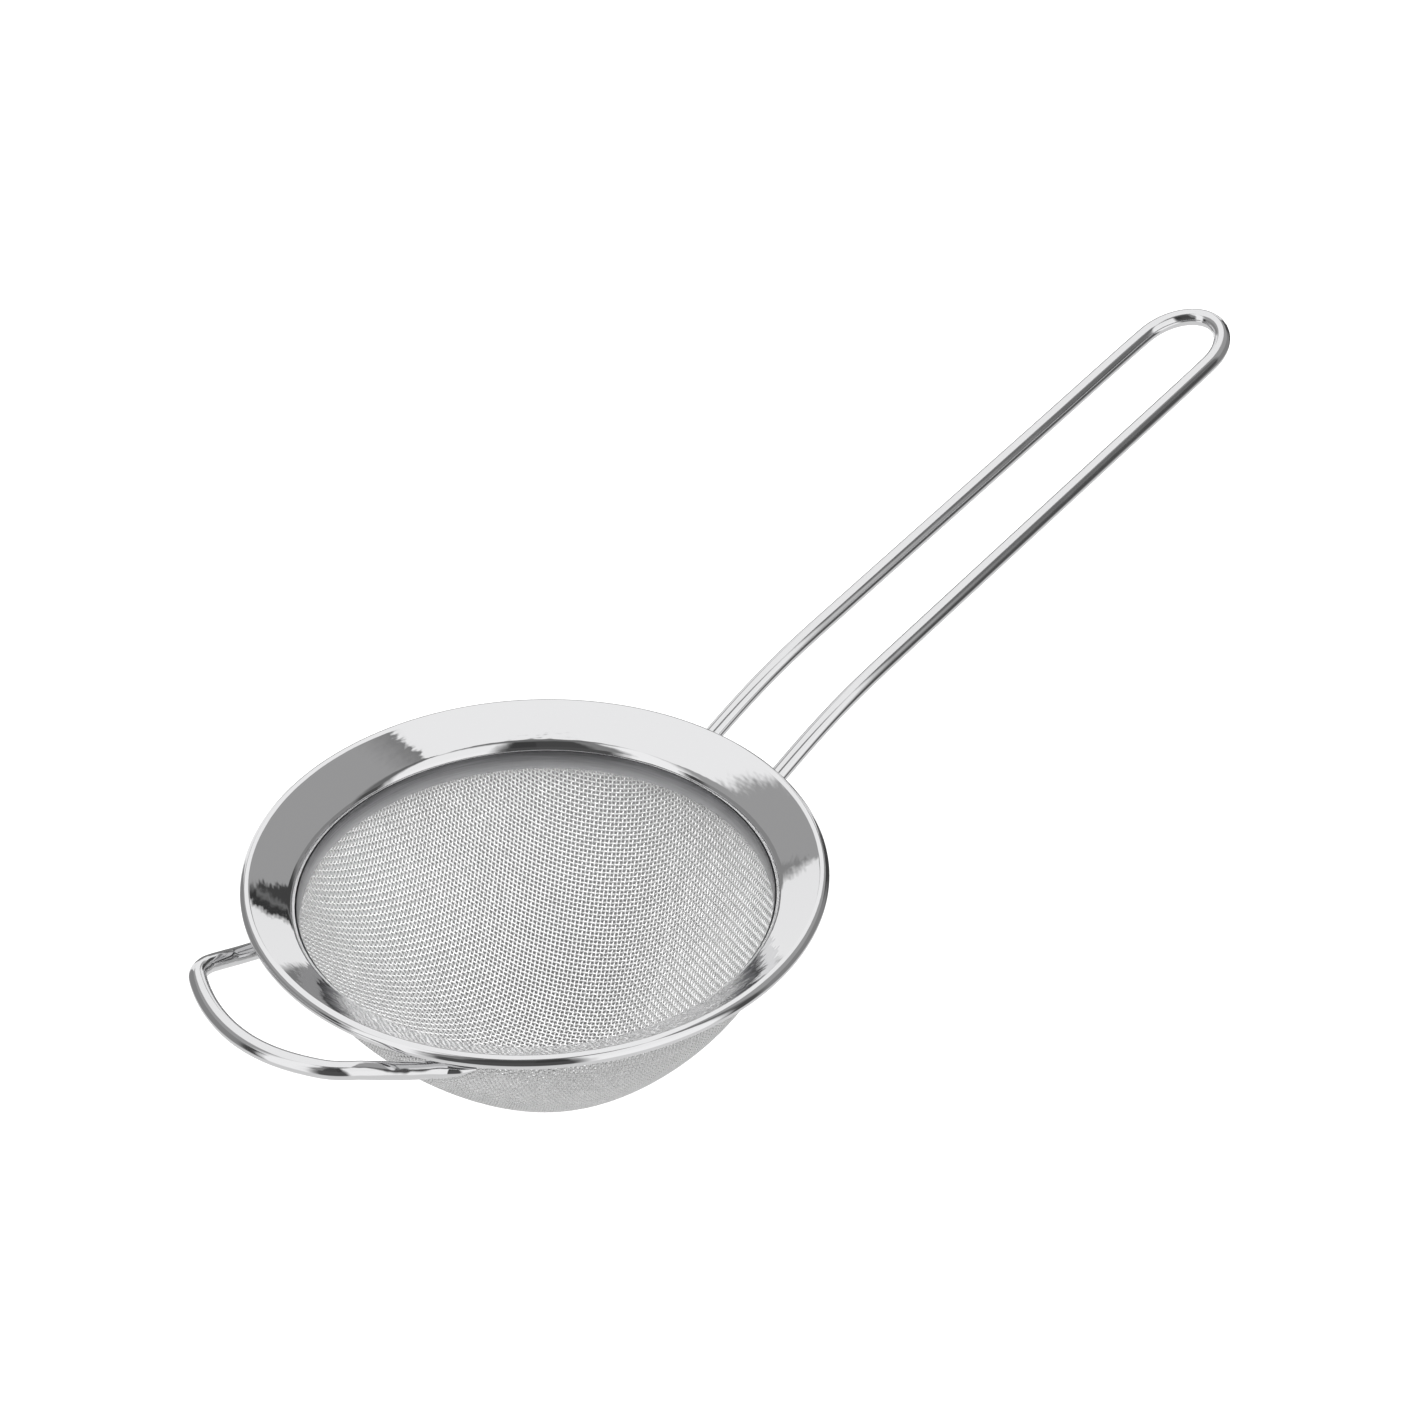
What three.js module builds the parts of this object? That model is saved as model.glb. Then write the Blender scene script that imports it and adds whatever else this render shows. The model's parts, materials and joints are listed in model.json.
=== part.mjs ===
// Tea strainer in millimetres, +Z up. The bowl's lowest point is at the origin and the handle runs out along +X.
// Five pieces: a stamped funnel rim, a woven basket, the band that clamps it, and two bent wires.
import * as THREE from "three";

const turnSegments = 64; // facets round every turned piece, so neighbours' facets line up
const degree = Math.PI / 180;

// Levels above the bowl's lowest point.
const beadLevel = 34.55;

// Funnel rim: neck tube, bend, sloping face, then an edge rolled over outwards.
const sheet = 0.5;
const neckInnerRadius = 33.2;
const neckBottom = -7.0; // below the bead's centre, like the levels that follow
const neckTop = -3.9;
const bendRadius = 1.7;
const faceAngle = 25.7 * degree;
const beadRadius = 0.95;
const beadCentreRadius = 39.05;
const curlBore = 0.5; // radius of the hollow inside the rolled edge
const curlStart = 192 * degree; // where the rolled edge leaves the sloping face
const curlEnd = -100 * degree; // where the sheet's cut edge stops

// Clamp band inside the neck.
const bandInnerRadius = 32.2;
const bandBottom = -6.3;
const bandTop = -4.2;
const bandRoll = 0.15; // half the band's thickness, and the rounding of both rims

// Woven basket: a collar that stands between band and neck, then the bowl.
const weaveThickness = 0.42;
const collarOuterRadius = 33.07;
const collarTop = -4.4;
const bowlTop = -6.6;
const bowlPull = [32.4, -12.4]; // the two points that pull the wall's curve, as radius and level
const bowlDraw = [22.9, -23.6];
const domeRadius = 23.2; // the floor is part of a ball
const domeEdge = 13.3; // and meets the wall at this radius
const floorFlat = 2.5; // radius of the flat the bowl stands on

// Both wires.
const wireRadius = 1.25;
const wireSides = 14;

// Handle: two legs that rise from the neck and meet in a rounded end.
const handleRoot = 34.05;
const handleRootSpread = 6.65; // half the gap between the legs' centre lines
const handleEndSpread = 6.1;
const handleReach = 143.5; // centre line of the end, from the rim's axis
const handleEndLength = 7.8;
const handleEdgeX = 40;
const handleEdgeLevel = -2.9;
const handleSlopeRoot = 0.45;
const handleSlopeEnd = 0.234;
const handleEaseLength = 25.4; // over which the slope changes
const handleStations = [40, 46, 52, 58, 66, 90, 114]; // where the legs' centre lines are set out

// Rest loop opposite the handle.
const loopRoots = [new THREE.Vector3(-28.9, 20.2, -6.0), new THREE.Vector3(-31.9, -14.9, -5.9)];
const loopShift = 3.7; // the loop sits this far to one side of the handle's line
const loopSpread = 15.7;
const loopSplay = 0.22; // legs spread this much per millimetre towards the neck
const loopCorner = 4.1;
const loopArc = 25.4;
const loopReach = 49.25;
const loopEdgeX = 40;
const loopEdgeLevel = -2.45;
const loopSlope = 0.496;
const loopDroop = 0.038; // the slope eases off by this per square millimetre
const loopSplayX = 42.9;
const loopStations = [37, 39];
const loopCornerLead = 0.8; // straight kept before the corner

const polishedSteel = { color: 0xd9dadc, roughness: 0.12, metalness: 1 };
const satinSteel = { color: 0xa9abad, roughness: 0.4, metalness: 1 };
const wovenSteel = { color: 0xc4c5c6, roughness: 0.35, metalness: 1 };

const group = new THREE.Group();
group.name = "tea_strainer";

function addPiece(name, geometry, finish) {
  const mesh = new THREE.Mesh(geometry, new THREE.MeshStandardMaterial(finish));
  mesh.name = name;
  mesh.position.z = beadLevel;
  group.add(mesh);
}

function polar(centreR, centreZ, radius, angle) {
  return new THREE.Vector2(centreR + radius * Math.cos(angle), centreZ + radius * Math.sin(angle));
}

function arc(centreR, centreZ, radius, from, to, count) {
  const points = [];
  for (let i = 0; i <= count; i++)
    points.push(polar(centreR, centreZ, radius, from + ((to - from) * i) / count));
  return points;
}

// An outline turned about the upright axis.
function turned(outline) {
  return new THREE.LatheGeometry(outline, turnSegments).rotateX(Math.PI / 2);
}

function rimOutline() {
  const bendCentre = neckInnerRadius + sheet + bendRadius;
  const bendStart = Math.PI;
  const bendEnd = Math.PI / 2 + faceAngle;
  const crease = polar(beadCentreRadius, 0, beadRadius, curlStart);
  const underR = beadCentreRadius + curlBore * Math.cos(curlStart);
  const drop = sheet / Math.cos(faceAngle);
  const faceZ = (r) => crease.y + (r - crease.x) * Math.tan(faceAngle);
  const outer = arc(bendCentre, neckTop, bendRadius + sheet, bendStart, bendEnd, 4);
  const inner = arc(bendCentre, neckTop, bendRadius, bendEnd, bendStart, 4);
  // The bend is lowered so that its end meets the sloping face.
  const last = outer[outer.length - 1];
  const lower = faceZ(last.x) - last.y;
  for (const point of [...outer, ...inner]) point.y += lower;
  const foot = new THREE.Vector2(neckInnerRadius, neckBottom);
  return [
    foot,
    ...outer,
    ...arc(beadCentreRadius, 0, beadRadius, curlStart, curlEnd, 14),
    ...arc(beadCentreRadius, 0, curlBore, curlEnd, curlStart, 8),
    new THREE.Vector2(underR, faceZ(underR) - drop),
    ...inner,
    new THREE.Vector2(neckInnerRadius + sheet, neckBottom),
    foot,
  ].reverse();
}
addPiece("funnel_rim", turned(rimOutline()), polishedSteel);

function bandOutline() {
  const middle = bandInnerRadius + bandRoll;
  const bottom = arc(middle, bandBottom + bandRoll, bandRoll, Math.PI, 2 * Math.PI, 3);
  const top = arc(middle, bandTop - bandRoll, bandRoll, 0, Math.PI, 3);
  return [...bottom, ...top, bottom[0]];
}
addPiece("clamp_band", turned(bandOutline()), satinSteel);

// The basket's outside from the collar down to the flat.
function bowlCurve() {
  const domeTurn = Math.asin(domeEdge / domeRadius);
  const flatTurn = Math.asin(floorFlat / domeRadius);
  const domeCentre = domeRadius * Math.cos(flatTurn) - beadLevel;
  const wallEnd = domeCentre - domeRadius * Math.cos(domeTurn);
  const wall = new THREE.CubicBezierCurve(
    new THREE.Vector2(collarOuterRadius, bowlTop),
    new THREE.Vector2(...bowlPull),
    new THREE.Vector2(...bowlDraw),
    new THREE.Vector2(domeEdge, wallEnd),
  );
  const dome = arc(0, domeCentre, domeRadius, domeTurn - Math.PI / 2, flatTurn - Math.PI / 2, 3);
  return [...wall.getPoints(10), ...dome.slice(1)];
}

// A curve moved sideways by the weave's thickness, towards the inside of the bowl.
function insideOf(points) {
  return points.map((point, i) => {
    const before = points[Math.max(i - 1, 0)];
    const after = points[Math.min(i + 1, points.length - 1)];
    const along = after.clone().sub(before).normalize();
    return new THREE.Vector2(point.x + along.y * weaveThickness, point.y - along.x * weaveThickness);
  });
}

function basketOutline() {
  const outside = [new THREE.Vector2(collarOuterRadius, collarTop), ...bowlCurve()];
  const inside = insideOf(outside);
  const floor = outside[outside.length - 1].y;
  const insideFloor = inside[inside.length - 1].y;
  return [new THREE.Vector2(0, floor), ...outside.reverse(), ...inside, new THREE.Vector2(0, insideFloor)];
}
addPiece("mesh_basket", turned(basketOutline()), wovenSteel);

// A round wire along a centre line.
function bentWire(points, steps) {
  const section = new THREE.Shape();
  section.absarc(0, 0, wireRadius, 0, 2 * Math.PI);
  return new THREE.ExtrudeGeometry(section, {
    steps,
    curveSegments: wireSides / 2,
    bevelEnabled: false,
    extrudePath: new THREE.CatmullRomCurve3(points, false, "centripetal"),
  });
}

// Both wires are the same on either side of their middle: one half is listed and mirrored.
function mirrored(half, shift) {
  const other = half
    .filter((point) => point.y > 0.01)
    .map((point) => new THREE.Vector3(point.x, -point.y, point.z))
    .reverse();
  return [...half, ...other].map((point) => point.add(new THREE.Vector3(0, shift, 0)));
}

function handleLevel(x) {
  const t = THREE.MathUtils.clamp((x - handleEdgeX) / handleEaseLength, 0, 1);
  const past = Math.max(x - handleEdgeX - handleEaseLength, 0);
  const eased = handleEaseLength * (t ** 3 - t ** 4 / 2) + past;
  return handleEdgeLevel + handleSlopeRoot * (x - handleEdgeX) + (handleSlopeEnd - handleSlopeRoot) * eased;
}

function handlePoints() {
  const legEnd = handleReach - handleEndLength;
  const half = [];
  for (const x of [handleRoot, ...handleStations, legEnd]) {
    const along = (x - handleRoot) / (legEnd - handleRoot);
    const spread = THREE.MathUtils.lerp(handleRootSpread, handleEndSpread, along);
    half.push(new THREE.Vector3(x, spread, handleLevel(x)));
  }
  for (let i = 1; i <= 5; i++) {
    const angle = (i / 5) * (Math.PI / 2);
    const x = legEnd + handleEndLength * Math.sin(angle);
    half.push(new THREE.Vector3(x, handleEndSpread * Math.cos(angle), handleLevel(x)));
  }
  return mirrored(half, 0);
}
addPiece("handle_wire", bentWire(handlePoints(), 80), polishedSteel);

function loopPoints() {
  const arcX = loopReach - loopArc;
  const cornerY = loopSpread - loopCorner;
  const cornerX = arcX + Math.sqrt((loopArc - loopCorner) ** 2 - cornerY ** 2);
  const turn = Math.atan2(cornerY, cornerX - arcX);
  const plan = [...loopStations, cornerX - loopCornerLead].map((x) => [x, loopSpread]);
  for (let i = 0; i <= 4; i++) {
    const angle = Math.PI / 2 + ((turn - Math.PI / 2) * i) / 4;
    plan.push([cornerX + loopCorner * Math.cos(angle), cornerY + loopCorner * Math.sin(angle)]);
  }
  for (let i = 1; i <= 5; i++) {
    const angle = turn * (1 - i / 5);
    plan.push([arcX + loopArc * Math.cos(angle), loopArc * Math.sin(angle)]);
  }
  const half = plan.map(([x, y]) => {
    const out = x - loopEdgeX;
    const level = loopEdgeLevel + loopSlope * out - loopDroop * Math.max(out, 0) ** 2;
    const splay = 1 + (loopSplay / loopSpread) * Math.max(loopSplayX - x, 0);
    return new THREE.Vector3(-x, y * splay, level);
  });
  return [loopRoots[0], ...mirrored(half, loopShift), loopRoots[1]];
}
addPiece("rest_loop", bentWire(loopPoints(), 52), polishedSteel);

export default group;
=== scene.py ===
import json
import math

import bmesh
import bpy
import numpy as np
from mathutils import Matrix, Vector

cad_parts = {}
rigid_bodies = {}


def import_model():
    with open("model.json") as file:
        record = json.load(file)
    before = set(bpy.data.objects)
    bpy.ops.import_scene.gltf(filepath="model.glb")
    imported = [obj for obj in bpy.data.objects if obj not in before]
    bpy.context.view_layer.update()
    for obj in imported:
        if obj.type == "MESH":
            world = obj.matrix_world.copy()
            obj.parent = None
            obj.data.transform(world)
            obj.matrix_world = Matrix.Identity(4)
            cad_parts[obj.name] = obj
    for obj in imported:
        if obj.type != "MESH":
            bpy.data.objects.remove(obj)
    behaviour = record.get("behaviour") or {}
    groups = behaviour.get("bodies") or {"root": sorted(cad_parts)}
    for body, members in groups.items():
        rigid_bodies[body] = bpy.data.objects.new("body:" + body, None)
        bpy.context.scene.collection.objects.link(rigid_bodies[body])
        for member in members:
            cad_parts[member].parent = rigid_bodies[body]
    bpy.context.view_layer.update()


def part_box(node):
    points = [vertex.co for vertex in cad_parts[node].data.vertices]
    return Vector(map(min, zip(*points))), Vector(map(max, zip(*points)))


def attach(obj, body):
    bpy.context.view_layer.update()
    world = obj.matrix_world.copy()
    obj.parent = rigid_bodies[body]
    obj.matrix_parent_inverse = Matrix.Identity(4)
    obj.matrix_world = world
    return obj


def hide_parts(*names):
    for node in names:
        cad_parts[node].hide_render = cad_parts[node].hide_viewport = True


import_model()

mm = 0.001
beadRadius = 0.95
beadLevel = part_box("funnel_rim")[1][2] / mm - beadRadius  # height of the rolled edge's centre, in mm
scene = bpy.context.scene
print("frame loaded", round(beadLevel, 4))


# ---- small helpers


def toLinear(hexColour):
    parts = [int(hexColour[i : i + 2], 16) / 255 for i in (1, 3, 5)]
    return tuple(p / 12.92 if p <= 0.04045 else ((p + 0.055) / 1.055) ** 2.4 for p in parts) + (1.0,)


def addNode(tree, kind, settings=None, inputs=None, links=None):
    node = tree.nodes.new(kind)
    for key, value in (settings or {}).items():
        setattr(node, key, value)
    for key, value in (inputs or {}).items():
        node.inputs[key].default_value = value
    for key, source in (links or {}).items():
        tree.links.new(source, node.inputs[key])
    return node


def newMaterial(name):
    material = bpy.data.materials.new(name)
    material.use_nodes = True
    return material, material.node_tree, material.node_tree.nodes["Principled BSDF"]


def keepPiece(obj, node, material):
    obj.data.materials.clear()
    obj.data.materials.append(material)
    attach(obj, "root")
    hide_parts(node)
    return obj


def objectFrom(name, bm, sharpAngle=math.radians(40)):
    bmesh.ops.remove_doubles(bm, verts=bm.verts, dist=1e-7)
    bmesh.ops.recalc_face_normals(bm, faces=bm.faces)
    for face in bm.faces:
        face.smooth = True
    for edge in bm.edges:
        edge.smooth = edge.calc_face_angle(0) < sharpAngle
    mesh = bpy.data.meshes.new(name)
    bm.to_mesh(mesh)
    bm.free()
    obj = bpy.data.objects.new(name, mesh)
    scene.collection.objects.link(obj)
    return obj


def arcPoints(centreR, centreZ, radius, fromAngle, toAngle, count):
    angles = [fromAngle + (toAngle - fromAngle) * i / count for i in range(count + 1)]
    return [(centreR + radius * math.cos(a), centreZ + radius * math.sin(a)) for a in angles]


def spinOutline(bm, outline, steps):
    # a closed outline of (radius, level) turned about the rim's axis
    ring = [bm.verts.new((r * mm, 0, (z + beadLevel) * mm)) for r, z in outline]
    edges = [bm.edges.new((a, b)) for a, b in zip(ring, ring[1:] + ring[:1])]
    bmesh.ops.spin(
        bm,
        geom=ring + edges,
        cent=(0, 0, 0),
        axis=(0, 0, 1),
        angle=math.tau,
        steps=steps,
        use_merge=True,
        use_duplicate=False,
    )


# ---- finishes

def ringPlace(tree, around, outward, upward):
    # marks that run round the rim: slow round it, quick across it; the scales are per metre
    coords = addNode(tree, "ShaderNodeTexCoord")
    flat = addNode(
        tree, "ShaderNodeVectorMath", {"operation": "MULTIPLY"}, {1: (1, 1, 0)}, {0: coords.outputs["Object"]}
    )
    way = addNode(tree, "ShaderNodeVectorMath", {"operation": "NORMALIZE"}, links={0: flat.outputs[0]})
    turn = addNode(
        tree,
        "ShaderNodeVectorMath",
        {"operation": "SCALE"},
        {"Scale": around},
        {0: way.outputs[0]},
    )
    radius = addNode(tree, "ShaderNodeVectorMath", {"operation": "LENGTH"}, links={0: flat.outputs[0]})
    height = addNode(tree, "ShaderNodeSeparateXYZ", links={"Vector": coords.outputs["Object"]}).outputs["Z"]
    out = addNode(
        tree,
        "ShaderNodeMath",
        {"operation": "MULTIPLY"},
        {1: outward},
        {0: radius.outputs["Value"]},
    )
    both = addNode(
        tree,
        "ShaderNodeMath",
        {"operation": "MULTIPLY_ADD"},
        {1: upward},
        {0: height, 2: out.outputs[0]},
    )
    rise = addNode(tree, "ShaderNodeCombineXYZ", links={"Z": both.outputs[0]})
    place = addNode(
        tree,
        "ShaderNodeVectorMath",
        {"operation": "ADD"},
        links={0: turn.outputs[0], 1: rise.outputs[0]},
    )
    return place.outputs[0], coords.outputs["Object"], height


# Mirror-polished stainless sheet: pressed, then buffed round and round, so it mirrors cleanly
# with a faint ripple from the press and patches of polishing haze.
polishedSheet = {
    "colour": "#E4E4E5",
    "smooth": 0.02,
    "hazy": 0.07,
    "around": 4.6,
    "outward": 330.0,  # ripples about 3 mm apart, per metre of radius
    "ripple": 0.000055,
    "haze": 420.0,  # comes and goes over 2 to 3 mm
}


def makePolishedSheet():
    material, tree, shader = newMaterial("stainless sheet, pressed and buffed")
    place, coords, _ = ringPlace(tree, polishedSheet["around"], polishedSheet["outward"], 0.0)
    ripple = addNode(
        tree,
        "ShaderNodeTexNoise",
        inputs={"Scale": 1.0, "Detail": 3.0, "Roughness": 0.55},
        links={"Vector": place},
    )
    rippleBump = addNode(
        tree,
        "ShaderNodeBump",
        inputs={"Strength": 1.0, "Distance": polishedSheet["ripple"]},
        links={"Height": ripple.outputs["Fac"]},
    )
    haze = addNode(
        tree,
        "ShaderNodeTexNoise",
        inputs={"Scale": polishedSheet["haze"], "Detail": 4.0, "Roughness": 0.6},
        links={"Vector": coords},
    )
    hazeRange = addNode(
        tree,
        "ShaderNodeMapRange",
        inputs={
            "From Min": 0.3,
            "From Max": 0.8,
            "To Min": polishedSheet["smooth"],
            "To Max": polishedSheet["hazy"],
        },
        links={"Value": haze.outputs["Fac"]},
    )
    tree.links.new(hazeRange.outputs["Result"], shader.inputs["Roughness"])
    tree.links.new(rippleBump.outputs["Normal"], shader.inputs["Normal"])
    shader.inputs["Base Color"].default_value = toLinear(polishedSheet["colour"])
    shader.inputs["Metallic"].default_value = 1.0
    return material


# Dull satin band: left unbuffed inside the neck, so it is soft and grey, brushed round in fine streaks,
# and painted darker towards its top as shade under the bend.
satinBand = {
    "foot": "#B6B6B8",
    # the head colour is painted shade, for the band's top under the bend
    "head": "#6A6A6C",
    "from": -6.0,
    "to": -3.3,
    "roughness": 0.36,
    "around": 5.0,
    "upward": 5200.0,  # streaks about 0.2 mm high
    "streak": 0.7,
}


def makeSatinBand():
    material, tree, shader = newMaterial("stainless band, brushed dull")
    place, _, height = ringPlace(tree, satinBand["around"], 0.0, satinBand["upward"])
    streaks = addNode(
        tree,
        "ShaderNodeTexNoise",
        inputs={"Scale": 1.0, "Detail": 3.0, "Roughness": 0.6},
        links={"Vector": place},
    )
    # painted shade: the colour runs from the light foot to the dark head as the band rises towards the bend
    paintedShadeRise = addNode(
        tree,
        "ShaderNodeMapRange",
        inputs={
            "From Min": (beadLevel + satinBand["from"]) * mm,
            "From Max": (beadLevel + satinBand["to"]) * mm,
        },
        links={"Value": height},
    )
    shade = addNode(
        tree,
        "ShaderNodeMath",
        {"operation": "MULTIPLY_ADD"},
        {1: satinBand["streak"]},
        {0: streaks.outputs["Fac"], 2: paintedShadeRise.outputs[0]},
    )
    level = addNode(
        tree, "ShaderNodeMath", {"operation": "SUBTRACT"}, {1: satinBand["streak"] / 2}, {0: shade.outputs[0]}
    )
    tone = addNode(tree, "ShaderNodeValToRGB", links={"Fac": level.outputs[0]})
    tone.color_ramp.elements[0].color = toLinear(satinBand["foot"])
    tone.color_ramp.elements[1].color = toLinear(satinBand["head"])
    tree.links.new(tone.outputs["Color"], shader.inputs["Base Color"])
    shader.inputs["Metallic"].default_value = 1.0
    shader.inputs["Roughness"].default_value = satinBand["roughness"]
    return material


# Bright round wire for handle and loop: drawn, bent and electropolished, so it mirrors like the sheet
# but a little softer, with a faint mottle 4 mm across.
brightWire = {"colour": "#E2E2E3", "smooth": 0.07, "dull": 0.12, "mottle": 260.0, "dents": 0.00001}


def makeBrightWire():
    material, tree, shader = newMaterial("stainless wire, drawn and electropolished")
    coords = addNode(tree, "ShaderNodeTexCoord")
    mottle = addNode(
        tree,
        "ShaderNodeTexNoise",
        inputs={"Scale": brightWire["mottle"], "Detail": 3.0, "Roughness": 0.55},
        links={"Vector": coords.outputs["Object"]},
    )
    mottleRange = addNode(
        tree,
        "ShaderNodeMapRange",
        inputs={
            "From Min": 0.3,
            "From Max": 0.8,
            "To Min": brightWire["smooth"],
            "To Max": brightWire["dull"],
        },
        links={"Value": mottle.outputs["Fac"]},
    )
    dents = addNode(
        tree,
        "ShaderNodeBump",
        inputs={"Strength": 0.1, "Distance": brightWire["dents"]},
        links={"Height": mottle.outputs["Fac"]},
    )
    tree.links.new(mottleRange.outputs["Result"], shader.inputs["Roughness"])
    tree.links.new(dents.outputs["Normal"], shader.inputs["Normal"])
    shader.inputs["Base Color"].default_value = toLinear(brightWire["colour"])
    shader.inputs["Metallic"].default_value = 1.0
    return material


# Weaving wire: thin annealed stainless, bright but not polished, so each crossing has a soft glint,
# and some stretches of it come duller than others.
weavingWire = {"bright": "#F6F6F6", "dull": "#DCDCDC", "smooth": 0.36, "rough": 0.48, "patches": 700.0}


def makeWeavingWire():
    material, tree, shader = newMaterial("stainless wire cloth, woven and annealed")
    coords = addNode(tree, "ShaderNodeTexCoord")
    # patches of 1 to 2 mm, two or three crossings wide
    patches = addNode(
        tree,
        "ShaderNodeTexNoise",
        inputs={"Scale": weavingWire["patches"], "Detail": 2.0, "Roughness": 0.5},
        links={"Vector": coords.outputs["Object"]},
    )
    tint = addNode(tree, "ShaderNodeValToRGB", links={"Fac": patches.outputs["Fac"]})
    tint.color_ramp.elements[0].color = toLinear(weavingWire["dull"])
    tint.color_ramp.elements[1].color = toLinear(weavingWire["bright"])
    gloss = addNode(
        tree,
        "ShaderNodeMapRange",
        inputs={"To Min": weavingWire["rough"], "To Max": weavingWire["smooth"]},
        links={"Value": patches.outputs["Fac"]},
    )
    tree.links.new(tint.outputs["Color"], shader.inputs["Base Color"])
    tree.links.new(gloss.outputs["Result"], shader.inputs["Roughness"])
    shader.inputs["Metallic"].default_value = 1.0
    return material


sheetMaterial = makePolishedSheet()
bandMaterial = makeSatinBand()
wireMaterial = makeBrightWire()
clothMaterial = makeWeavingWire()
print("finishes made")


# ---- funnel rim: neck, bend, sloping face and the edge rolled over outwards

rim = {
    "sheet": 0.4,
    "neckInner": 32.65,
    "neckBottom": -6.0,
    "neckTop": -3.9,
    "bendRadius": 1.8,
    "faceAngle": math.radians(30),
    "beadRadius": beadRadius,
    "beadCentre": 39.05,
    "curlBore": 0.5,
    "curlStart": math.radians(120),  # the face runs smoothly over into the roll
    "curlEnd": math.radians(-130),
    "lip": 0.12,  # the cut edge of the neck is slightly rounded
    "underBack": 0.6,
    "outerSteps": 14,
    "innerSteps": 10,
    "rollSteps": 40,
    "boreSteps": 20,
    "steps": 256,
}


def rimOutline():
    sheet, bend, slope = rim["sheet"], rim["bendRadius"], rim["faceAngle"]
    bead = rim["beadCentre"]
    centre = rim["neckInner"] + sheet + bend
    creaseR = bead + rim["beadRadius"] * math.cos(rim["curlStart"])
    creaseZ = rim["beadRadius"] * math.sin(rim["curlStart"])
    underR = bead + rim["curlBore"] * math.cos(rim["curlStart"])
    outer = arcPoints(centre, rim["neckTop"], bend + sheet, math.pi, math.pi / 2 + slope, rim["outerSteps"])
    inner = arcPoints(centre, rim["neckTop"], bend, math.pi / 2 + slope, math.pi, rim["innerSteps"])
    lower = creaseZ + (outer[-1][0] - creaseR) * math.tan(slope) - outer[-1][1]
    outer = [(r, z + lower) for r, z in outer]
    inner = [(r, z + lower) for r, z in inner]
    roll = arcPoints(bead, 0, rim["beadRadius"], rim["curlStart"], rim["curlEnd"], rim["rollSteps"])
    bore = arcPoints(bead, 0, rim["curlBore"], rim["curlEnd"], rim["curlStart"], rim["boreSteps"])
    faceMid = tuple((a + b) / 2 for a, b in zip(outer[-1], roll[0]))
    underR -= rim["underBack"]
    under = (underR, creaseZ + (underR - creaseR) * math.tan(slope) - sheet / math.cos(slope))
    lip = rim["lip"]
    foot = [
        (rim["neckInner"] + sheet, rim["neckBottom"] + lip),
        (rim["neckInner"] + sheet - lip, rim["neckBottom"]),
        (rim["neckInner"] + lip, rim["neckBottom"]),
        (rim["neckInner"], rim["neckBottom"] + lip),
    ]
    return foot + outer + [faceMid] + roll + bore + [under] + inner


bm = bmesh.new()
spinOutline(bm, rimOutline(), rim["steps"])
funnel = keepPiece(objectFrom("funnel_rim_polished", bm), "funnel_rim", sheetMaterial)
print("funnel rim made", len(funnel.data.polygons))


# ---- rings that hold the cloth: a thin dull one inside the neck and a bright one round the outside

rings = {
    "clamp_band_satin": {
        "inner": 32.36,
        "outer": 32.63,
        "bottom": -6.15,
        "top": -3.3,
        "edge": 0.05,
        "taper": 1.3,
    },
    "funnel_rim_collar": {
        "inner": 33.7,
        "outer": 34.05,
        "bottom": -5.5,
        "top": -4.2,
        "edge": 0.15,
        "taper": 0,
    },
}


cornerSteps = 5


def ringOutline(ring):
    e, taper = ring["edge"], ring["taper"]
    tip = 2.2 * e  # a tapered ring thins out to little more than its two rounded edges
    inset = ring["outer"] - ring["inner"] - tip if taper else 0
    corners = (
        (ring["inner"] + e, ring["bottom"] + e, math.pi),
        (ring["outer"] - e, ring["bottom"] + e, 1.5 * math.pi),
        (ring["outer"] - e, ring["top"] - e, 0),
        (ring["inner"] + e + inset, ring["top"] - e, 0.5 * math.pi),
    )
    outline = []
    for r, z, start in corners:
        outline += arcPoints(r, z, e, start, start + math.pi / 2, cornerSteps)
    return outline + ([(ring["inner"], ring["top"] - taper)] if taper else [])


def makeRing(name, node, material):
    bm = bmesh.new()
    spinOutline(bm, ringOutline(rings[name]), rim["steps"])
    return keepPiece(objectFrom(name, bm), node, material)


makeRing("clamp_band_satin", "clamp_band", bandMaterial)
makeRing("funnel_rim_collar", "funnel_rim", sheetMaterial)
print("rings made")


# ---- woven basket

cloth = {
    "pitch": 0.605,
    "wire": 0.26,  # thickness of the weaving wire
    "turn": math.radians(30),  # of the weave from the handle's line
    "collar": 33.36,
    "collarTop": -4.6,
    "wallTop": -6.6,
    "pull": (32.0, -12.4),
    "draw": (22.65, -23.4),
    "domeRadius": 22.95,
    "domeEdge": 13.15,
    "lean": (0.8, -1.61),  # the pressed bowl hangs a little to one side
    "leanDepth": 27.95,
    "runOn": 4.0,  # the outline goes on past the collar for the outermost crossings
    "domeSteps": 60,
    "wallSteps": 120,
    "rounds": 6,  # of Newton's method for each crossing
    "nudge": 1e-4,
    "stride": 0.3,  # longest step of a round, in pitches
    "feel": 0.05,  # how far along the outline its slope is felt for
    "partEnds": (0.4, 0.6),  # shares of the way across at which one mesh gives way to the next
    "roundness": 1,
}


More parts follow.
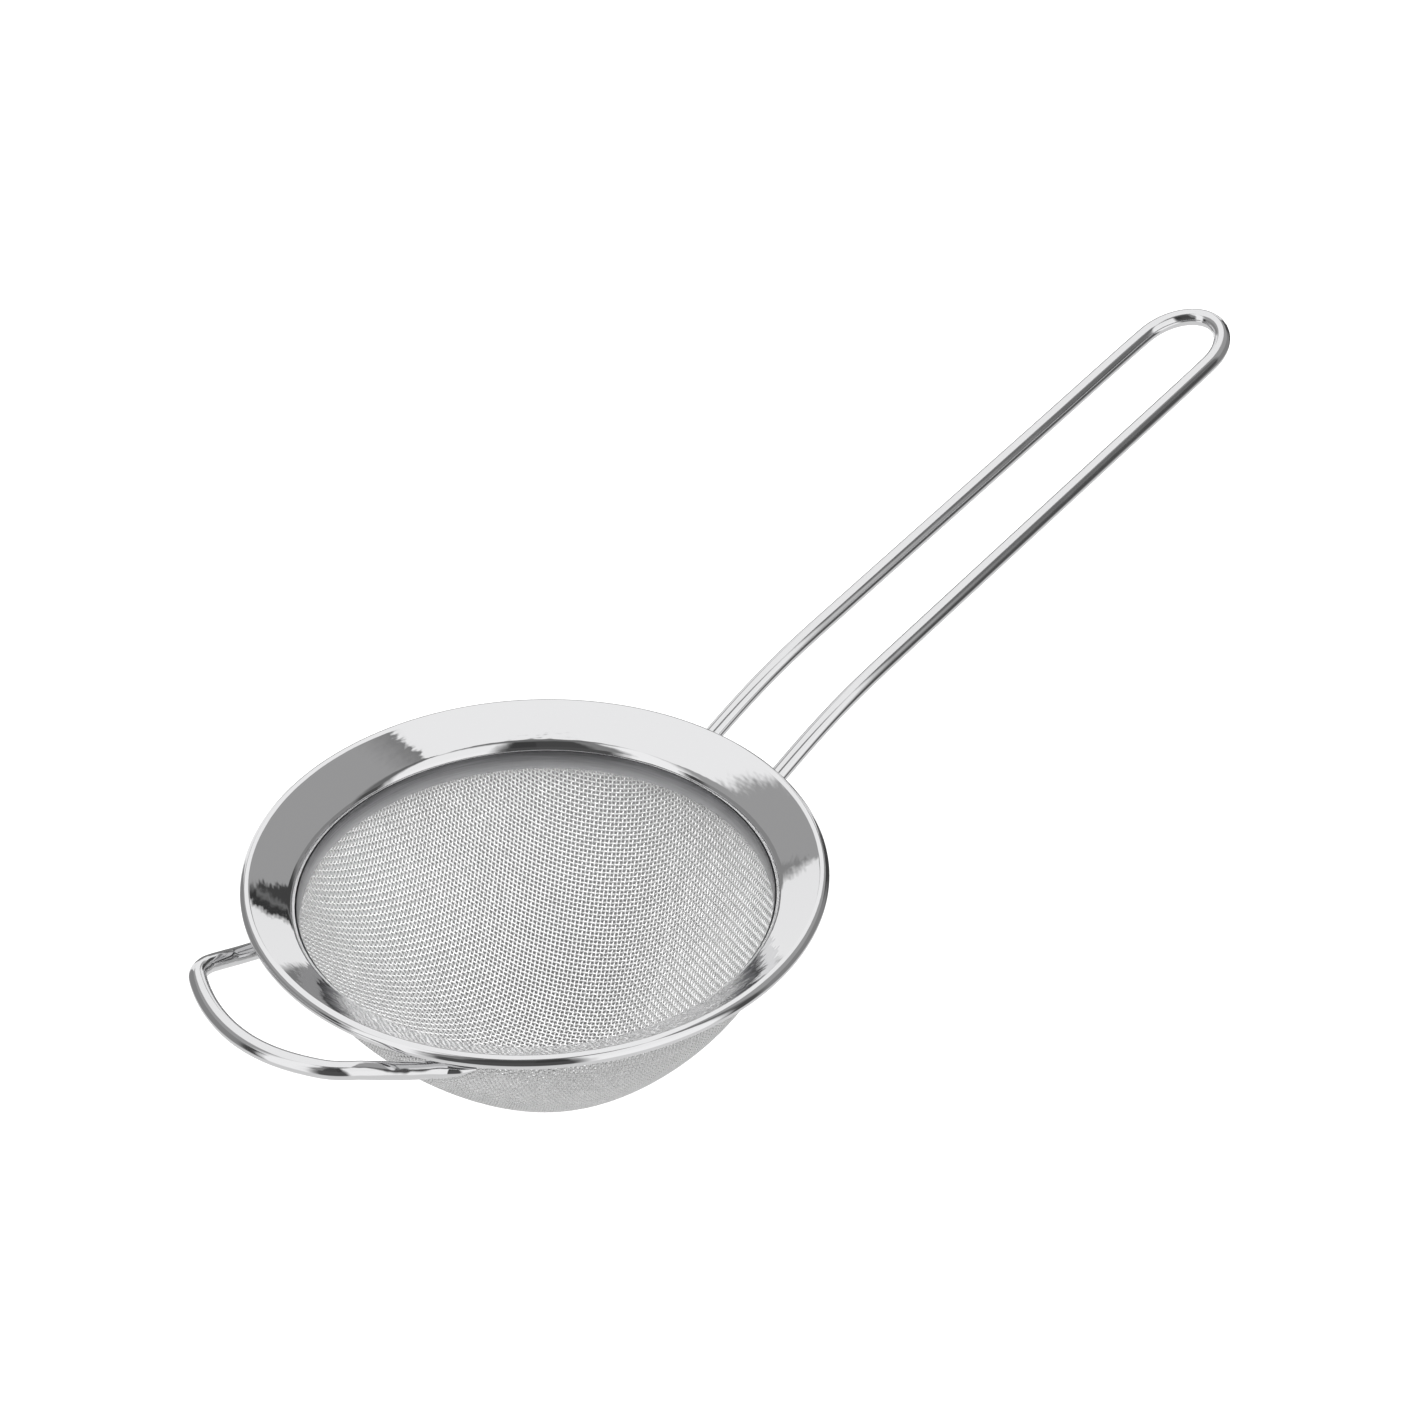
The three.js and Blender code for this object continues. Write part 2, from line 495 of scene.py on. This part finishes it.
def clothProfile():
    # radius and level along the bowl from its lowest point up to the collar's top, by length
    ball, edge = cloth["domeRadius"], cloth["domeEdge"]
    turn = math.asin(edge / ball)
    centre = -beadLevel + cloth["wire"] + ball
    angles = [turn * t for t in np.linspace(0, 1, cloth["domeSteps"])]
    dome = [(ball * math.sin(a), centre - ball * math.cos(a)) for a in angles]
    top = (cloth["collar"], cloth["wallTop"])
    ends = [np.array(p) for p in (dome[-1], cloth["draw"], cloth["pull"], top)]
    wall = []
    for t in np.linspace(0, 1, cloth["wallSteps"])[1:]:
        weights = ((1 - t) ** 3, 3 * t * (1 - t) ** 2, 3 * t * t * (1 - t), t**3)
        wall.append(tuple(sum(w * p for w, p in zip(weights, ends))))
    points = np.array(dome + wall + [(cloth["collar"], cloth["collarTop"] + cloth["runOn"])])
    lengths = np.r_[0, np.cumsum(np.hypot(*np.diff(points, axis=0).T))]
    return lengths, points[:, 0], points[:, 1]


profileLength, profileRadius, profileLevel = clothProfile()


def onCloth(uv):
    # a point of the unrolled disc, where distance from the middle is length along the bowl
    s = np.maximum(np.hypot(uv[..., 0], uv[..., 1]), 1e-9)
    r = np.interp(s, profileLength, profileRadius)
    z = np.interp(s, profileLength, profileLevel)
    return np.stack([r * uv[..., 0] / s, r * uv[..., 1] / s, z], axis=-1)


def solveNet(count):
    # Wire cloth can't stretch, so every crossing keeps its distance from its neighbours and the
    # squares shear instead. One quarter is worked out from two wires that cross at the bottom.
    h, nudge = cloth["pitch"], cloth["nudge"]
    uv = np.zeros((count, count, 2))
    steps = np.arange(count)
    uv[:, 0, 0] = steps * h
    uv[0, :, 1] = steps * h
    for total in range(2, 2 * count - 1):
        i = np.arange(max(1, total - count + 1), min(count, total))
        j = total - i
        a, b, c = uv[i - 1, j], uv[i, j - 1], uv[i - 1, j - 1]
        pointA, pointB = onCloth(a), onCloth(b)
        guess = a + b - c
        for _ in range(cloth["rounds"]):
            here = onCloth(guess)
            gap = np.stack([((here - pointA) ** 2).sum(1), ((here - pointB) ** 2).sum(1)], 1) - h * h
            slopes = []
            for axis in (0, 1):
                moved = guess.copy()
                moved[:, axis] += nudge
                there = onCloth(moved)
                both = np.stack([((there - pointA) ** 2).sum(1), ((there - pointB) ** 2).sum(1)], 1) - h * h
                slopes.append((both - gap) / nudge)
            fx, fy = slopes
            det = fx[:, 0] * fy[:, 1] - fy[:, 0] * fx[:, 1]
            det = np.where(np.abs(det) < 1e-6, 1e-6, det)
            dx = (gap[:, 0] * fy[:, 1] - gap[:, 1] * fy[:, 0]) / det
            dy = (gap[:, 1] * fx[:, 0] - gap[:, 0] * fx[:, 1]) / det
            step = np.stack([dx, dy], 1)
            size = np.maximum(np.hypot(dx, dy), 1e-9)
            guess = guess - step * np.minimum(1, cloth["stride"] * h / size)[:, None]
        uv[i, j] = guess
    return uv


def wholeNet():
    wall = slice(cloth["domeSteps"], None)
    reach = np.interp(cloth["collarTop"], profileLevel[wall], profileLength[wall])
    count = int(reach / cloth["pitch"]) + 3
    quarter = solveNet(count)
    size = 2 * count - 1
    net = np.zeros((size, size, 2))
    mid = count - 1
    for si in (1, -1):
        for sj in (1, -1):
            ii = mid + si * np.arange(count)
            jj = mid + sj * np.arange(count)
            net[np.ix_(ii, jj)] = quarter * np.array([si, sj])
    return net, reach


def leaning(points):
    depth = np.clip((cloth["wallTop"] - points[:, 2]) / cloth["leanDepth"], 0, 1)
    return points + depth[:, None] * np.array([*cloth["lean"], 0.0])


def clothPieces():
    net, reach = wholeNet()
    size = len(net)
    inside = np.hypot(net[..., 0], net[..., 1]) < reach
    groups = {}
    families = (("warp", net, inside, 1), ("weft", net.swapaxes(0, 1), inside.T, -1))
    for family, grid, within, first in families:
        for k in range(size):
            index = np.nonzero(within[k])[0]
            if len(index) < 2:
                continue
            low, high = index[0] - 1, index[-1] + 1  # one crossing past the collar, cut back below
            uv = grid[k, low : high + 1].copy()
            uv[0] = cutBack(uv[1], uv[0], reach)
            uv[-1] = cutBack(uv[-2], uv[-1], reach)
            sides = first * np.where((k + np.arange(low, high + 1)) % 2 == 0, 1, -1)
            part = "abc"[sum(k / size > end for end in cloth["partEnds"])]
            groups.setdefault(family + "_" + part, []).append(crimped(uv, sides))
    return groups


def cutBack(inner, outer, reach):
    # the wire is sheared off level with the collar's top
    near, far = np.hypot(*inner), np.hypot(*outer)
    return inner + (outer - inner) * (reach - near) / max(far - near, 1e-6)


def crimped(uv, sides):
    # each wire rises and dips by half its thickness over and under the wires it crosses
    mids = (uv[1:] + uv[:-1]) / 2
    path = np.empty((len(uv) * 2 - 1, 2))
    path[0::2], path[1::2] = uv, mids
    lift = np.zeros(len(path))
    lift[0::2] = sides * cloth["wire"] / 2
    point = onCloth(path)
    s = np.maximum(np.hypot(path[:, 0], path[:, 1]), 1e-6)
    unit = path / s[:, None]
    before, after = s - cloth["feel"], s + cloth["feel"]
    dr = np.interp(after, profileLength, profileRadius) - np.interp(before, profileLength, profileRadius)
    dz = np.interp(after, profileLength, profileLevel) - np.interp(before, profileLength, profileLevel)
    size = np.hypot(dr, dz)
    normal = np.column_stack([unit * (-dz / size)[:, None], dr / size])
    point = point + normal * lift[:, None]
    c, sn = math.cos(cloth["turn"]), math.sin(cloth["turn"])
    point[:, :2] = point[:, :2] @ np.array([[c, sn], [-sn, c]])
    return leaning(point)


def wiresAsMesh(name, paths):
    curve = bpy.data.curves.new(name, "CURVE")
    curve.dimensions = "3D"
    curve.bevel_depth = cloth["wire"] / 2 * mm
    curve.bevel_resolution = cloth["roundness"]
    curve.use_fill_caps = True
    for points in paths:
        spline = curve.splines.new("POLY")
        spline.points.add(len(points) - 1)
        flat = np.column_stack([points, np.ones(len(points))])
        flat[:, 2] += beadLevel
        flat[:, :3] *= mm
        spline.points.foreach_set("co", flat.ravel())
    holder = bpy.data.objects.new(name, curve)
    scene.collection.objects.link(holder)
    bpy.context.view_layer.update()
    mesh = bpy.data.meshes.new_from_object(holder.evaluated_get(bpy.context.evaluated_depsgraph_get()))
    mesh.name = name
    bpy.data.objects.remove(holder)
    bpy.data.curves.remove(curve)
    mesh.shade_smooth()
    obj = bpy.data.objects.new(name, mesh)
    scene.collection.objects.link(obj)
    return obj


for groupName, paths in clothPieces().items():
    piece = wiresAsMesh("cloth_" + groupName, paths)
    keepPiece(piece, "mesh_basket", clothMaterial)
    print("cloth", groupName, len(paths), "wires")


# ---- handle and rest loop: bent wires

wire = {"radius": 1.25, "roundness": 10, "smoothness": 8}
handle = {
    "root": 34.05,
    "rootSpread": 6.65,
    "endSpread": 6.1,
    "reach": 143.5,
    "endLength": 7.8,
    "edgeX": 40,
    "edgeLevel": -2.9,
    "slopeRoot": 0.45,
    "slopeEnd": 0.234,
    "ease": 25.4,
    "stations": (37, 40, 43, 46, 49, 52, 55, 58, 62, 66, 90, 114),
    "endSteps": 8,
}
loop = {
    "farRoot": (-28.9, 20.2, -6.0),
    "nearTurn": [math.radians(a) for a in (205.5, 209, 212.5)],  # the near leg turns along the neck
    "hug": (35.2, 34.8, 34.2),
    "hugLevels": (-5.9, -5.9, -5.8),
    "nearCorner": 7.5,
    "shift": 3.7,
    "spread": 15.7,
    "splay": 0.22,
    "corner": 4.1,
    "arc": 25.4,
    "reach": 49.25,
    "edgeX": 40,
    "edgeLevel": -2.45,
    "slope": 0.496,
    "droop": 0.038,
    "splayX": 42.9,
    "legX": (36.5, 38.2),
    "cornerSteps": 8,
    "arcSteps": 6,
    "taper": (0.15, 0.6, 0.95),  # shares of the full thickness, from the near end inwards
}


def mirroredHalf(half, shift):
    other = [(x, -y, z) for x, y, z in reversed(half) if y > 0.01]
    return [(x, y + shift, z) for x, y, z in half + other]


def handleLevel(x):
    t = min(max((x - handle["edgeX"]) / handle["ease"], 0), 1)
    past = max(x - handle["edgeX"] - handle["ease"], 0)
    eased = handle["ease"] * (t**3 - t**4 / 2) + past
    rise = handle["slopeRoot"] * (x - handle["edgeX"])
    return handle["edgeLevel"] + rise + (handle["slopeEnd"] - handle["slopeRoot"]) * eased


def handlePoints():
    legEnd = handle["reach"] - handle["endLength"]
    half = []
    for x in (handle["root"], *handle["stations"], legEnd):
        along = (x - handle["root"]) / (legEnd - handle["root"])
        spread = handle["rootSpread"] + (handle["endSpread"] - handle["rootSpread"]) * along
        half.append((x, spread, handleLevel(x)))
    for i in range(1, handle["endSteps"] + 1):
        angle = i / handle["endSteps"] * math.pi / 2
        x = legEnd + handle["endLength"] * math.sin(angle)
        half.append((x, handle["endSpread"] * math.cos(angle), handleLevel(x)))
    return mirroredHalf(half, 0)


def loopHalf(corner):
    # one side of the loop: leg, corner, then its share of the wide arc
    arcX = loop["reach"] - loop["arc"]
    cornerY = loop["spread"] - corner
    cornerX = arcX + math.sqrt((loop["arc"] - corner) ** 2 - cornerY**2)
    turn = math.atan2(cornerY, cornerX - arcX)
    plan = [(x, loop["spread"]) for x in loop["legX"]]
    for i in range(loop["cornerSteps"] + 1):
        angle = math.pi / 2 + (turn - math.pi / 2) * i / loop["cornerSteps"]
        plan.append((cornerX + corner * math.cos(angle), cornerY + corner * math.sin(angle)))
    for i in range(1, loop["arcSteps"] + 1):
        angle = turn * (1 - i / loop["arcSteps"])
        plan.append((arcX + loop["arc"] * math.cos(angle), loop["arc"] * math.sin(angle)))
    half = []
    for x, y in plan:
        out = x - loop["edgeX"]
        level = loop["edgeLevel"] + loop["slope"] * out - loop["droop"] * max(out, 0) ** 2
        splay = 1 + loop["splay"] / loop["spread"] * max(loop["splayX"] - x, 0)
        half.append((-x, y * splay, level))
    return half


def loopPoints():
    far = loopHalf(loop["corner"])
    near = [(x, -y, z) for x, y, z in reversed(loopHalf(loop["nearCorner"])) if y > 0.01]
    along = [
        (r * math.cos(a), r * math.sin(a), z)
        for a, r, z in zip(loop["nearTurn"], loop["hug"], loop["hugLevels"])
    ]
    return [loop["farRoot"]] + [(x, y + loop["shift"], z) for x, y, z in far + near] + along


def bentWire(name, points, taper=()):
    curve = bpy.data.curves.new(name, "CURVE")
    curve.dimensions = "3D"
    curve.bevel_depth = wire["radius"] * mm
    curve.bevel_resolution = wire["roundness"]
    curve.use_fill_caps = True
    curve.resolution_u = wire["smoothness"]
    spline = curve.splines.new("BEZIER")
    spline.bezier_points.add(len(points) - 1)
    for knot, (x, y, z) in zip(spline.bezier_points, points):
        knot.co = (x * mm, y * mm, (z + beadLevel) * mm)
        knot.handle_left_type = knot.handle_right_type = "AUTO"
    for knot, share in zip(reversed(spline.bezier_points), taper):
        knot.radius = share
    holder = bpy.data.objects.new(name, curve)
    scene.collection.objects.link(holder)
    bpy.context.view_layer.update()
    mesh = bpy.data.meshes.new_from_object(holder.evaluated_get(bpy.context.evaluated_depsgraph_get()))
    bpy.data.objects.remove(holder)
    bpy.data.curves.remove(curve)
    bm = bmesh.new()
    bm.from_mesh(mesh)
    return objectFrom(name, bm)


handlePiece = bentWire("handle_wire_bright", handlePoints())
loopPiece = bentWire("rest_loop_bright", loopPoints(), loop["taper"])
keepPiece(handlePiece, "handle_wire", wireMaterial)
keepPiece(loopPiece, "rest_loop", wireMaterial)
print("wires bent", len(handlePiece.data.polygons), len(loopPiece.data.polygons))


# ---- floor, light and camera

bm = bmesh.new()
bmesh.ops.create_grid(bm, x_segments=1, y_segments=1, size=20.0)
floor = objectFrom("floor", bm)
floorMaterial, tree, shader = newMaterial("matt paper sweep")
shader.inputs["Base Color"].default_value = toLinear("#A6A6A6")  # lit well past white, like a lit backdrop
shader.inputs["Roughness"].default_value = 0.9
shader.inputs["Specular IOR Level"].default_value = 0.0
floor.data.materials.append(floorMaterial)
floor.visible_glossy = False  # polished steel mirrors the studio below instead

view = {
    "azimuth": math.radians(-45.504),
    "elevation": math.radians(36.014),
    "roll": math.radians(-0.948),
    "target": (43.548, 8.972, 34.55),
    "distance": 634.15,
    "lens": 112.77,
}

# The studio, as bearings in degrees clockwise from straight ahead of the camera. Each card has a soft
# edge; the low cards stand on the floor, the high ones hang over them.
studio = {
    "low": [
        (-180, -147, "#525252"),
        (-136, -114, "#FFFFFF"),
        (-108, -103, "#474747"),
        (-97, -36, "#8C8C8C"),
        (-34, 24.2, "#F4F4F4"),
        (25, 26.8, "#383838"),
        (27.4, 27.8, "#929292"),
        (28.4, 41, "#444444"),
        (50, 90, "#888888"),
        (97, 106, "#505050"),
        (115, 158, "#FFFFFF"),
        (167, 180, "#505050"),
    ],
    "high": [
        (-180, -156, "#4A4A4A"),
        (-151, -140, "#858585"),
        (-133, -111, "#FFFFFF"),
        (-98, 88, "#A2A2A2"),
        (97, 107, "#6E6E6E"),
        (114, 159, "#FBFBFB"),
        (168, 180, "#404040"),
    ],
    "split": (0.37, 0.4),  # sine of the height where the high cards start
    "roofEdge": (0.86, 0.95),
    "roof": "#767676",
    "softbox": "#FAFAFA",
    # the planes of its sides, and how soft each side is
    "softboxSides": (((1, 0, 0.85), 0.045), ((-1, 0, 0.41), 0.01), ((0, 1, 0.17), 0.02)),
    "softboxFoot": (0.0, 0.3),
    "ground": "#DADADA",
    "groundEdge": (-0.62, -0.4),
    "shade": "#808080",
    "shadeWay": (0, 0.978, -0.208),
    "shadeEdge": (0.925, 0.945),
    "strength": 1.08,
}


def cardRamp(tree, bearing, cards):
    ramp = addNode(tree, "ShaderNodeValToRGB", links={"Fac": bearing.outputs[0]})
    stops = ramp.color_ramp.elements
    edges = [(angle / 360 + 0.5, shade) for low, high, shade in cards for angle in (low, high)]
    stops[0].color, stops[-1].color = toLinear(edges[0][1]), toLinear(edges[-1][1])
    for place, shade in edges[1:-1]:
        stops.new(place).color = toLinear(shade)
    return ramp


def blended(tree, share, under, over):
    mix = addNode(tree, "ShaderNodeMix", {"data_type": "RGBA"}, links={"Factor": share})
    for socket, value in ((mix.inputs[6], under), (mix.inputs[7], over)):
        if isinstance(value, str):
            socket.default_value = toLinear(value)
        else:
            tree.links.new(value, socket)
    return mix.outputs[2]


def makeStudio():
    world = bpy.data.worlds.new("studio")
    scene.world = world
    world.use_nodes = True
    tree = world.node_tree
    coords = addNode(tree, "ShaderNodeTexCoord")
    facing = addNode(
        tree,
        "ShaderNodeMapping",
        inputs={"Rotation": (0, 0, -view["azimuth"])},
        links={"Vector": coords.outputs["Generated"]},
    )
    axes = addNode(tree, "ShaderNodeSeparateXYZ", links={"Vector": facing.outputs[0]})
    turn = addNode(
        tree, "ShaderNodeMath", {"operation": "ARCTAN2"}, links={0: axes.outputs["X"], 1: axes.outputs["Y"]}
    )
    bearing = addNode(
        tree,
        "ShaderNodeMapRange",
        inputs={"From Min": -math.pi, "From Max": math.pi},
        links={"Value": turn.outputs[0]},
    )

    def share(source, low, high):
        return addNode(
            tree,
            "ShaderNodeMapRange",
            {"interpolation_type": "SMOOTHSTEP"},
            {"From Min": low, "From Max": high},
            {"Value": source},
        ).outputs[0]

    height = axes.outputs["Z"]
    low = cardRamp(tree, bearing, studio["low"]).outputs["Color"]
    high = cardRamp(tree, bearing, studio["high"]).outputs["Color"]
    colour = blended(tree, share(height, *studio["split"]), low, high)
    colour = blended(tree, share(height, *studio["roofEdge"]), colour, studio["roof"])
    # one big softbox hangs over the far half and runs down behind, wider the further it goes
    sheet = None
    for plane, edge in studio["softboxSides"]:
        reach = addNode(
            tree, "ShaderNodeVectorMath", {"operation": "DOT_PRODUCT"}, {1: plane}, {0: facing.outputs[0]}
        )
        side = share(reach.outputs["Value"], -edge, edge)
        if sheet is None:
            sheet = side
        else:
            both = addNode(tree, "ShaderNodeMath", {"operation": "MULTIPLY"}, links={0: sheet, 1: side})
            sheet = both.outputs[0]
    above = share(height, *studio["softboxFoot"])
    sheet = addNode(tree, "ShaderNodeMath", {"operation": "MULTIPLY"}, links={0: sheet, 1: above}).outputs[0]
    colour = blended(tree, sheet, colour, studio["softbox"])
    colour = blended(tree, share(height, *studio["groundEdge"]), studio["ground"], colour)
    # straight ahead the sweep turns up in its own shade, which draws a thin line along the rim's far edge
    ahead = addNode(
        tree,
        "ShaderNodeVectorMath",
        {"operation": "DOT_PRODUCT"},
        {1: studio["shadeWay"]},
        {0: facing.outputs[0]},
    )
    colour = blended(tree, share(ahead.outputs["Value"], *studio["shadeEdge"]), colour, studio["shade"])
    back = tree.nodes["Background"]
    tree.links.new(colour, back.inputs["Color"])
    back.inputs["Strength"].default_value = studio["strength"]


makeStudio()

def cameraBack():
    az, el = view["azimuth"], view["elevation"]
    return Vector((math.sin(az) * math.cos(el), -math.cos(az) * math.cos(el), math.sin(el)))


# A lamp behind the camera lights the paper white. A flag in front of it keeps the paper under the
# bowl dark, so that the gaps of the cloth read dark against the bright wires.
lamp = {"strength": 16.0, "width": math.radians(0.25)}
flagShape = {
    "distance": 850,
    "wider": 2.2,  # than the cloth, where the rim hides the shadow's soft edge
    "narrower": -1.8,
    "rimBottom": -8,
    "nearSide": (-0.6, 0),
    "everyRow": 6,
    "around": 72,
    "corners": 96,
    "apart": 0.2,
}


def flagOutline():
    # the part of the paper that is seen through the bowl, moved up to the flag along the lamp's rays
    eye = Vector(view["target"]) + cameraBack() * view["distance"]
    seen = []
    for radius, level in zip(profileRadius[:: flagShape["everyRow"]], profileLevel[:: flagShape["everyRow"]]):
        drift = np.clip((cloth["wallTop"] - level) / cloth["leanDepth"], 0, 1)
        for angle in np.linspace(0, math.tau, flagShape["around"], endpoint=False):
            # the soft edge stays behind the rim on the far side and inside the bowl's outline on the near one
            ahead = -math.cos(angle - math.atan2(cameraBack().y, cameraBack().x))
            spare = flagShape["narrower"]
            if level > flagShape["rimBottom"]:
                spare = np.interp(ahead, flagShape["nearSide"], (flagShape["narrower"], flagShape["wider"]))
            reach = radius + spare
            x = reach * math.cos(angle) + drift * cloth["lean"][0]
            y = reach * math.sin(angle) + drift * cloth["lean"][1]
            past = Vector((x, y, level + beadLevel)) - eye
            seen.append(eye + past * (eye.z / -past.z))
    corners = []
    for angle in np.linspace(0, math.tau, flagShape["corners"], endpoint=False):
        far = max(seen, key=lambda p: p.x * math.cos(angle) + p.y * math.sin(angle))
        if not corners or (far - corners[-1]).length > flagShape["apart"]:
            corners.append(far)
    return [corner + cameraBack() * flagShape["distance"] for corner in corners]


bm = bmesh.new()
bm.faces.new([bm.verts.new(corner * mm) for corner in flagOutline()])
flag = objectFrom("flag", bm)
flagMaterial, tree, shader = newMaterial("matt black card")
shader.inputs["Base Color"].default_value = toLinear("#202020")
shader.inputs["Roughness"].default_value = 0.9
flag.data.materials.append(flagMaterial)
flag.visible_camera = flag.visible_glossy = flag.visible_diffuse = False

lampData = bpy.data.lights.new("paper lamp", "SUN")
lampData.energy = lamp["strength"]
lampData.angle = lamp["width"]
paperLamp = bpy.data.objects.new("paper lamp", lampData)
paperLamp.rotation_euler = (math.pi / 2 - view["elevation"], 0, view["azimuth"])
paperLamp.visible_glossy = False
shadowMakers = bpy.data.collections.new("shadow makers")
shadowMakers.objects.link(flag)
paperLamp.light_linking.blocker_collection = shadowMakers
scene.collection.objects.link(paperLamp)

# a broad soft lamp overhead that only the cloth takes up
clothLight = {
    "strength": 2.7,
    "width": math.radians(80),
    "tilt": math.radians(28),
    "turn": math.radians(16),  # from the camera's side towards its right
}
clothLampData = bpy.data.lights.new("cloth lamp", "SUN")
clothLampData.energy = clothLight["strength"]
clothLampData.angle = clothLight["width"]
clothLamp = bpy.data.objects.new("cloth lamp", clothLampData)
clothLamp.rotation_euler = (clothLight["tilt"], 0, view["azimuth"] + clothLight["turn"])
clothOnly = bpy.data.collections.new("cloth only")
for obj in scene.collection.objects:
    if obj.name.startswith("cloth_"):
        clothOnly.objects.link(obj)
clothLamp.light_linking.receiver_collection = clothOnly
scene.collection.objects.link(clothLamp)


def placeCamera():
    backward = cameraBack()
    right = Vector((math.cos(view["azimuth"]), math.sin(view["azimuth"]), 0))
    up = backward.cross(right)
    turn = Matrix((right, up, backward)).transposed() @ Matrix.Rotation(view["roll"], 3, "Z")
    data = bpy.data.cameras.new("camera")
    data.lens = view["lens"]
    data.sensor_width = 36
    data.clip_start = 0.01
    camera = bpy.data.objects.new("camera", data)
    eye = (Vector(view["target"]) + backward * view["distance"]) * mm
    camera.matrix_world = Matrix.Translation(eye) @ turn.to_4x4()
    scene.collection.objects.link(camera)
    scene.camera = camera


placeCamera()
scene.view_settings.view_transform = "Standard"
scene.view_settings.look = "None"
print("stage set")
